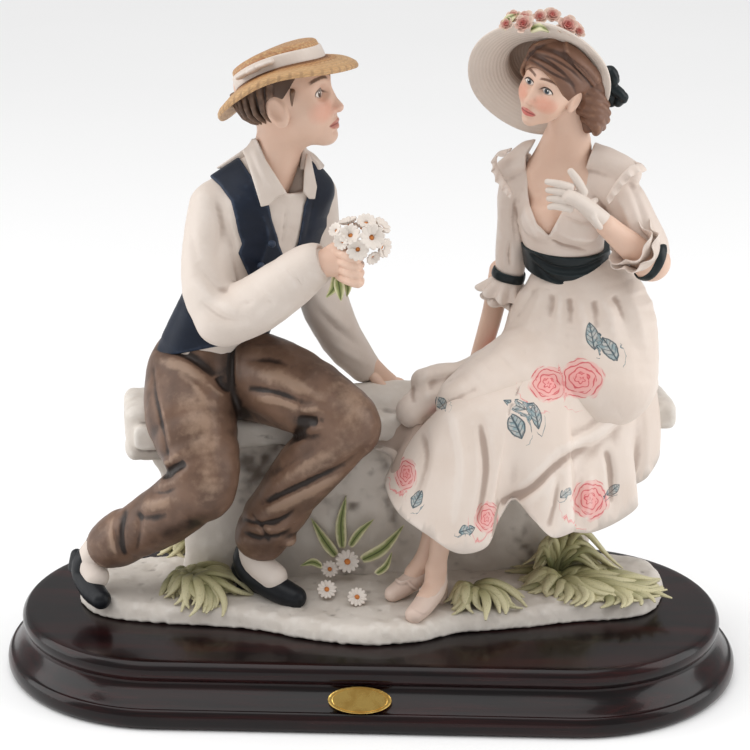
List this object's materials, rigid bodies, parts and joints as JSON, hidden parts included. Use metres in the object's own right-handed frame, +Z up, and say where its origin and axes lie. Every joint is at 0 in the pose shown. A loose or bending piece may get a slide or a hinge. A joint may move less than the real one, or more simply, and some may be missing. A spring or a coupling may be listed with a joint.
{
  "type": "seated couple figurine",
  "caption": "Painted cast figurine of a courting couple on a garden bench among grass and daisies, standing on a moulded dark wood plinth with a small brass plate",
  "frame": {"origin": "bottom centre of the wooden plinth, on the surface it stands on", "axes": "+X along the plinth to the viewer's right, +Y away from the viewer, +Z up"},
  "size_m": [0.36, 0.165, 0.3222],
  "materials": {
    "plinth_wood": "dark mahogany gloss lacquer",
    "plate_brass": "polished",
    "painted_resin": "hand painted matt with an antique wash"
  },
  "bodies": {
    "root": {"wooden_plinth": "plinth_wood", "brass_plate": "plate_brass", "couple_casting": "painted_resin"}
  },
  "joints": []
}
